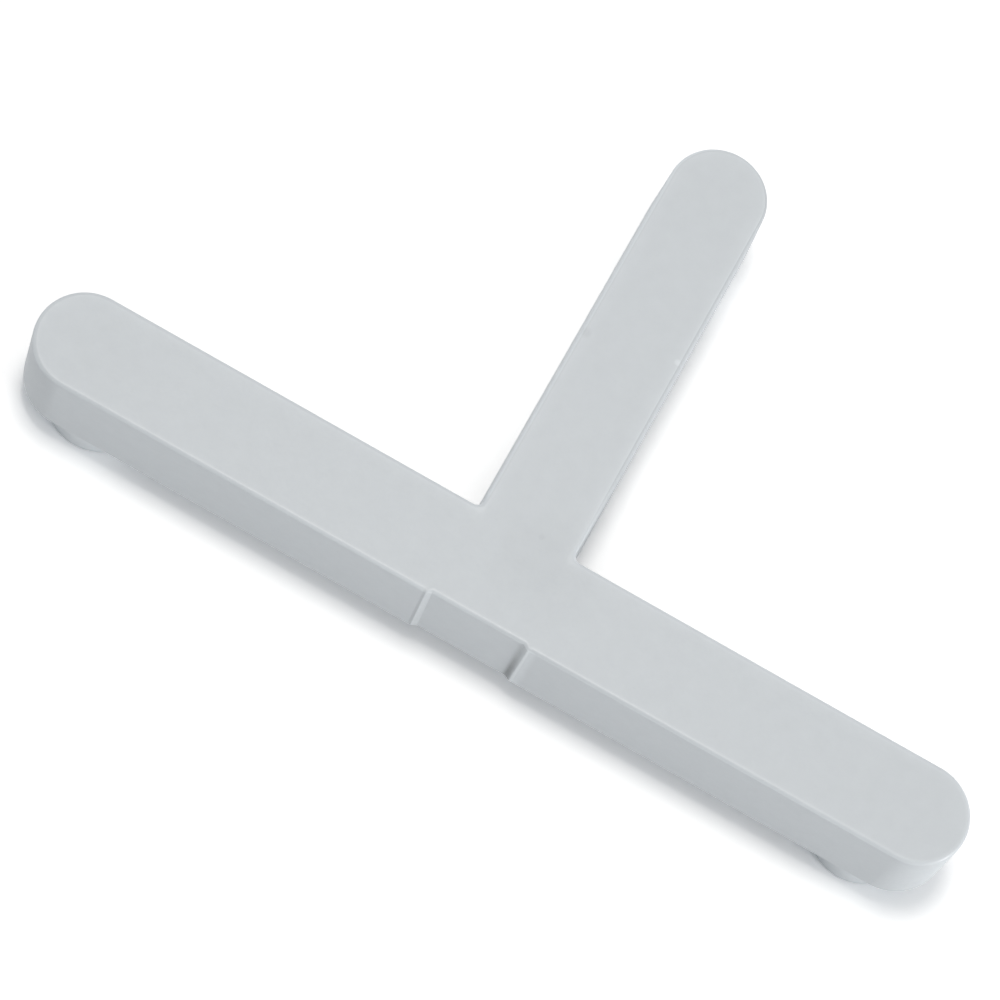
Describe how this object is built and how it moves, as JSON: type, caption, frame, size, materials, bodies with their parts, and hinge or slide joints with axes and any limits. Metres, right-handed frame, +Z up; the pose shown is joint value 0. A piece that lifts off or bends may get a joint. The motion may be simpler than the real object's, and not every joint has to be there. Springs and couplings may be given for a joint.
{
  "type": "tile spacer",
  "caption": "T-shaped moulded plastic spacer with rounded ends and short round feet, setting an even joint where staggered tiles meet.",
  "frame": {"origin": "centre of the outline, at the level of the feet's undersides", "axes": "+X along the bar, +Y along the stem from the bar to its free end, +Z up from the feet to the flat top face"},
  "size_m": [0.028, 0.0154, 0.004],
  "materials": {
    "grey_plastic": "fine matt, as moulded"
  },
  "bodies": {
    "root": {"spacer": "grey_plastic"}
  },
  "joints": []
}
